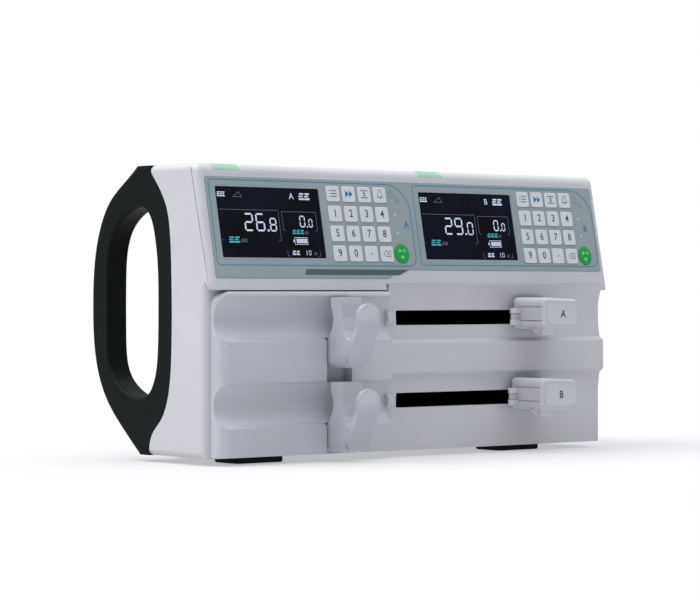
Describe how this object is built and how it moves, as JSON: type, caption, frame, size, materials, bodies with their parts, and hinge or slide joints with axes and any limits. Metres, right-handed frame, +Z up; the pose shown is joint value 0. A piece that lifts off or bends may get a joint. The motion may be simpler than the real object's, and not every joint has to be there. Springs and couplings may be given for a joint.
{
  "type": "syringe pump",
  "caption": "Two-channel syringe pump: tilted panel with screens and keypads, syringe cradle with barrel clamps, sliding plunger heads and a side carry handle.",
  "frame": {"origin": "centre of the bounding box in plan, on the surface that the four feet stand on", "axes": "+X along the width towards the plunger heads, +Y from the control panel to the rear, +Z up"},
  "size_m": [0.3966, 0.192, 0.219],
  "materials": {
    "case_white": "satin, finely textured moulded plastic",
    "cradle_white": "satin moulded plastic",
    "clamp_white": "satin moulded plastic",
    "head_white": "satin moulded plastic",
    "handle_black": "fine-grained dark moulded plastic",
    "overlay_grey": "matt printed polyester film",
    "screen_glass": "dark display glass",
    "light_green": "translucent pale green lens",
    "key_pad": "matt embossed key",
    "key_green": "matt embossed key",
    "foot_rubber": "dark moulded rubber",
    "chassis_black": "black painted steel",
    "rod_steel": "ground steel",
    "bearing_steel": "ground steel and bronze",
    "motor_black": "black painted steel",
    "spring_steel": "spring steel",
    "board_green": "solder-masked circuit board",
    "battery_wrap": "shrink-wrapped cells",
    "screw_steel": "zinc-plated steel",
    "carriage_black": "black acetal"
  },
  "bodies": {
    "pump_body": {"front_housing": "case_white", "rear_housing": "case_white", "carry_handle": "handle_black", "syringe_cradle": "cradle_white", "panel_overlay": "overlay_grey", "display_modules": "screen_glass", "alarm_lights": "light_green", "drive_chassis": "chassis_black", "guide_rods": "rod_steel", "shaft_bearings": "bearing_steel", "drive_motors": "motor_black", "clamp_springs": "spring_steel", "main_board": "board_green", "battery_pack": "battery_wrap", "rubber_feet": "foot_rubber", "housing_screws": "screw_steel"},
    "drive_a": {"drive_head_a": "head_white", "carriage_a": "carriage_black"},
    "clamp_a": {"syringe_clamp_a": "clamp_white"},
    "clutch_a": {"clutch_button_a": "head_white"},
    "screw_a": {"leadscrew_a": "rod_steel"},
    "drive_b": {"drive_head_b": "head_white", "carriage_b": "carriage_black"},
    "clamp_b": {"syringe_clamp_b": "clamp_white"},
    "clutch_b": {"clutch_button_b": "head_white"},
    "screw_b": {"leadscrew_b": "rod_steel"},
    "key_a_9": {"key_a_9": "key_pad"},
    "key_a_0": {"key_a_0": "key_pad"},
    "key_a_point": {"key_a_point": "key_pad"},
    "key_a_clear": {"key_a_clear": "key_pad"},
    "key_a_5": {"key_a_5": "key_pad"},
    "key_a_6": {"key_a_6": "key_pad"},
    "key_a_7": {"key_a_7": "key_pad"},
    "key_a_8": {"key_a_8": "key_pad"},
    "key_a_1": {"key_a_1": "key_pad"},
    "key_a_2": {"key_a_2": "key_pad"},
    "key_a_3": {"key_a_3": "key_pad"},
    "key_a_4": {"key_a_4": "key_pad"},
    "key_a_menu": {"key_a_menu": "key_pad"},
    "key_a_purge": {"key_a_purge": "key_pad"},
    "key_a_limit": {"key_a_limit": "key_pad"},
    "key_a_mute": {"key_a_mute": "key_pad"},
    "key_a_start": {"key_a_start": "key_green"},
    "key_b_9": {"key_b_9": "key_pad"},
    "key_b_0": {"key_b_0": "key_pad"},
    "key_b_point": {"key_b_point": "key_pad"},
    "key_b_clear": {"key_b_clear": "key_pad"},
    "key_b_5": {"key_b_5": "key_pad"},
    "key_b_6": {"key_b_6": "key_pad"},
    "key_b_7": {"key_b_7": "key_pad"},
    "key_b_8": {"key_b_8": "key_pad"},
    "key_b_1": {"key_b_1": "key_pad"},
    "key_b_2": {"key_b_2": "key_pad"},
    "key_b_3": {"key_b_3": "key_pad"},
    "key_b_4": {"key_b_4": "key_pad"},
    "key_b_menu": {"key_b_menu": "key_pad"},
    "key_b_purge": {"key_b_purge": "key_pad"},
    "key_b_limit": {"key_b_limit": "key_pad"},
    "key_b_mute": {"key_b_mute": "key_pad"},
    "key_b_start": {"key_b_start": "key_green"}
  },
  "joints": [
    {"name": "drive_a_slide", "type": "slide", "parent": "pump_body", "child": "drive_a", "axis": [-1, 0, 0], "range_m": [0, 0.108]},
    {"name": "drive_b_slide", "type": "slide", "parent": "pump_body", "child": "drive_b", "axis": [-1, 0, 0], "range_m": [0, 0.108]},
    {"name": "clamp_a_pull", "type": "slide", "parent": "pump_body", "child": "clamp_a", "axis": [0, -1, 0], "range_m": [0, 0.022], "stiffness_N_per_m": 400, "springref_m": -0.01, "deforming": ["clamp_springs"]},
    {"name": "clamp_b_pull", "type": "slide", "parent": "pump_body", "child": "clamp_b", "axis": [0, -1, 0], "range_m": [0, 0.022], "stiffness_N_per_m": 400, "springref_m": -0.01, "deforming": ["clamp_springs"]},
    {"name": "clutch_a_press", "type": "slide", "parent": "drive_a", "child": "clutch_a", "axis": [0, 0, 1], "range_m": [0, 0.003], "stiffness_N_per_m": 800, "springref_m": -0.001},
    {"name": "clutch_b_press", "type": "slide", "parent": "drive_b", "child": "clutch_b", "axis": [0, 0, 1], "range_m": [0, 0.003], "stiffness_N_per_m": 800, "springref_m": -0.001},
    {"name": "leadscrew_a_turn", "type": "hinge", "parent": "pump_body", "child": "screw_a", "pos_m": [0.0517, -0.019, 0.0939], "axis": [1, 0, 0], "continuous": true},
    {"name": "leadscrew_b_turn", "type": "hinge", "parent": "pump_body", "child": "screw_b", "pos_m": [0.0517, -0.019, 0.0312], "axis": [1, 0, 0], "continuous": true},
    {"name": "key_a_9", "type": "slide", "parent": "pump_body", "child": "key_a_9", "axis": [0, 0.9799, -0.1994], "range_m": [0, 0.0004], "stiffness_N_per_m": 4000, "springref_m": -0.0002},
    {"name": "key_a_0", "type": "slide", "parent": "pump_body", "child": "key_a_0", "axis": [0, 0.9799, -0.1994], "range_m": [0, 0.0004], "stiffness_N_per_m": 4000, "springref_m": -0.0002},
    {"name": "key_a_point", "type": "slide", "parent": "pump_body", "child": "key_a_point", "axis": [0, 0.9799, -0.1994], "range_m": [0, 0.0004], "stiffness_N_per_m": 4000, "springref_m": -0.0002},
    {"name": "key_a_clear", "type": "slide", "parent": "pump_body", "child": "key_a_clear", "axis": [0, 0.9799, -0.1994], "range_m": [0, 0.0004], "stiffness_N_per_m": 4000, "springref_m": -0.0002},
    {"name": "key_a_5", "type": "slide", "parent": "pump_body", "child": "key_a_5", "axis": [0, 0.9799, -0.1994], "range_m": [0, 0.0004], "stiffness_N_per_m": 4000, "springref_m": -0.0002},
    {"name": "key_a_6", "type": "slide", "parent": "pump_body", "child": "key_a_6", "axis": [0, 0.9799, -0.1994], "range_m": [0, 0.0004], "stiffness_N_per_m": 4000, "springref_m": -0.0002},
    {"name": "key_a_7", "type": "slide", "parent": "pump_body", "child": "key_a_7", "axis": [0, 0.9799, -0.1994], "range_m": [0, 0.0004], "stiffness_N_per_m": 4000, "springref_m": -0.0002},
    {"name": "key_a_8", "type": "slide", "parent": "pump_body", "child": "key_a_8", "axis": [0, 0.9799, -0.1994], "range_m": [0, 0.0004], "stiffness_N_per_m": 4000, "springref_m": -0.0002},
    {"name": "key_a_1", "type": "slide", "parent": "pump_body", "child": "key_a_1", "axis": [0, 0.9799, -0.1994], "range_m": [0, 0.0004], "stiffness_N_per_m": 4000, "springref_m": -0.0002},
    {"name": "key_a_2", "type": "slide", "parent": "pump_body", "child": "key_a_2", "axis": [0, 0.9799, -0.1994], "range_m": [0, 0.0004], "stiffness_N_per_m": 4000, "springref_m": -0.0002},
    {"name": "key_a_3", "type": "slide", "parent": "pump_body", "child": "key_a_3", "axis": [0, 0.9799, -0.1994], "range_m": [0, 0.0004], "stiffness_N_per_m": 4000, "springref_m": -0.0002},
    {"name": "key_a_4", "type": "slide", "parent": "pump_body", "child": "key_a_4", "axis": [0, 0.9799, -0.1994], "range_m": [0, 0.0004], "stiffness_N_per_m": 4000, "springref_m": -0.0002},
    {"name": "key_a_menu", "type": "slide", "parent": "pump_body", "child": "key_a_menu", "axis": [0, 0.9799, -0.1994], "range_m": [0, 0.0004], "stiffness_N_per_m": 4000, "springref_m": -0.0002},
    {"name": "key_a_purge", "type": "slide", "parent": "pump_body", "child": "key_a_purge", "axis": [0, 0.9799, -0.1994], "range_m": [0, 0.0004], "stiffness_N_per_m": 4000, "springref_m": -0.0002},
    {"name": "key_a_limit", "type": "slide", "parent": "pump_body", "child": "key_a_limit", "axis": [0, 0.9799, -0.1994], "range_m": [0, 0.0004], "stiffness_N_per_m": 4000, "springref_m": -0.0002},
    {"name": "key_a_mute", "type": "slide", "parent": "pump_body", "child": "key_a_mute", "axis": [0, 0.9799, -0.1994], "range_m": [0, 0.0004], "stiffness_N_per_m": 4000, "springref_m": -0.0002},
    {"name": "key_a_start", "type": "slide", "parent": "pump_body", "child": "key_a_start", "axis": [0, 0.9799, -0.1994], "range_m": [0, 0.0004], "stiffness_N_per_m": 4000, "springref_m": -0.0002},
    {"name": "key_b_9", "type": "slide", "parent": "pump_body", "child": "key_b_9", "axis": [0, 0.9799, -0.1994], "range_m": [0, 0.0004], "stiffness_N_per_m": 4000, "springref_m": -0.0002},
    {"name": "key_b_0", "type": "slide", "parent": "pump_body", "child": "key_b_0", "axis": [0, 0.9799, -0.1994], "range_m": [0, 0.0004], "stiffness_N_per_m": 4000, "springref_m": -0.0002},
    {"name": "key_b_point", "type": "slide", "parent": "pump_body", "child": "key_b_point", "axis": [0, 0.9799, -0.1994], "range_m": [0, 0.0004], "stiffness_N_per_m": 4000, "springref_m": -0.0002},
    {"name": "key_b_clear", "type": "slide", "parent": "pump_body", "child": "key_b_clear", "axis": [0, 0.9799, -0.1994], "range_m": [0, 0.0004], "stiffness_N_per_m": 4000, "springref_m": -0.0002},
    {"name": "key_b_5", "type": "slide", "parent": "pump_body", "child": "key_b_5", "axis": [0, 0.9799, -0.1994], "range_m": [0, 0.0004], "stiffness_N_per_m": 4000, "springref_m": -0.0002},
    {"name": "key_b_6", "type": "slide", "parent": "pump_body", "child": "key_b_6", "axis": [0, 0.9799, -0.1994], "range_m": [0, 0.0004], "stiffness_N_per_m": 4000, "springref_m": -0.0002},
    {"name": "key_b_7", "type": "slide", "parent": "pump_body", "child": "key_b_7", "axis": [0, 0.9799, -0.1994], "range_m": [0, 0.0004], "stiffness_N_per_m": 4000, "springref_m": -0.0002},
    {"name": "key_b_8", "type": "slide", "parent": "pump_body", "child": "key_b_8", "axis": [0, 0.9799, -0.1994], "range_m": [0, 0.0004], "stiffness_N_per_m": 4000, "springref_m": -0.0002},
    {"name": "key_b_1", "type": "slide", "parent": "pump_body", "child": "key_b_1", "axis": [0, 0.9799, -0.1994], "range_m": [0, 0.0004], "stiffness_N_per_m": 4000, "springref_m": -0.0002},
    {"name": "key_b_2", "type": "slide", "parent": "pump_body", "child": "key_b_2", "axis": [0, 0.9799, -0.1994], "range_m": [0, 0.0004], "stiffness_N_per_m": 4000, "springref_m": -0.0002},
    {"name": "key_b_3", "type": "slide", "parent": "pump_body", "child": "key_b_3", "axis": [0, 0.9799, -0.1994], "range_m": [0, 0.0004], "stiffness_N_per_m": 4000, "springref_m": -0.0002},
    {"name": "key_b_4", "type": "slide", "parent": "pump_body", "child": "key_b_4", "axis": [0, 0.9799, -0.1994], "range_m": [0, 0.0004], "stiffness_N_per_m": 4000, "springref_m": -0.0002},
    {"name": "key_b_menu", "type": "slide", "parent": "pump_body", "child": "key_b_menu", "axis": [0, 0.9799, -0.1994], "range_m": [0, 0.0004], "stiffness_N_per_m": 4000, "springref_m": -0.0002},
    {"name": "key_b_purge", "type": "slide", "parent": "pump_body", "child": "key_b_purge", "axis": [0, 0.9799, -0.1994], "range_m": [0, 0.0004], "stiffness_N_per_m": 4000, "springref_m": -0.0002},
    {"name": "key_b_limit", "type": "slide", "parent": "pump_body", "child": "key_b_limit", "axis": [0, 0.9799, -0.1994], "range_m": [0, 0.0004], "stiffness_N_per_m": 4000, "springref_m": -0.0002},
    {"name": "key_b_mute", "type": "slide", "parent": "pump_body", "child": "key_b_mute", "axis": [0, 0.9799, -0.1994], "range_m": [0, 0.0004], "stiffness_N_per_m": 4000, "springref_m": -0.0002},
    {"name": "key_b_start", "type": "slide", "parent": "pump_body", "child": "key_b_start", "axis": [0, 0.9799, -0.1994], "range_m": [0, 0.0004], "stiffness_N_per_m": 4000, "springref_m": -0.0002}
  ],
  "couplings": [
    {"joint": "leadscrew_a_turn", "follows": "drive_a_slide", "rad_per_m": 1570.8},
    {"joint": "leadscrew_b_turn", "follows": "drive_b_slide", "rad_per_m": 1570.8}
  ]
}
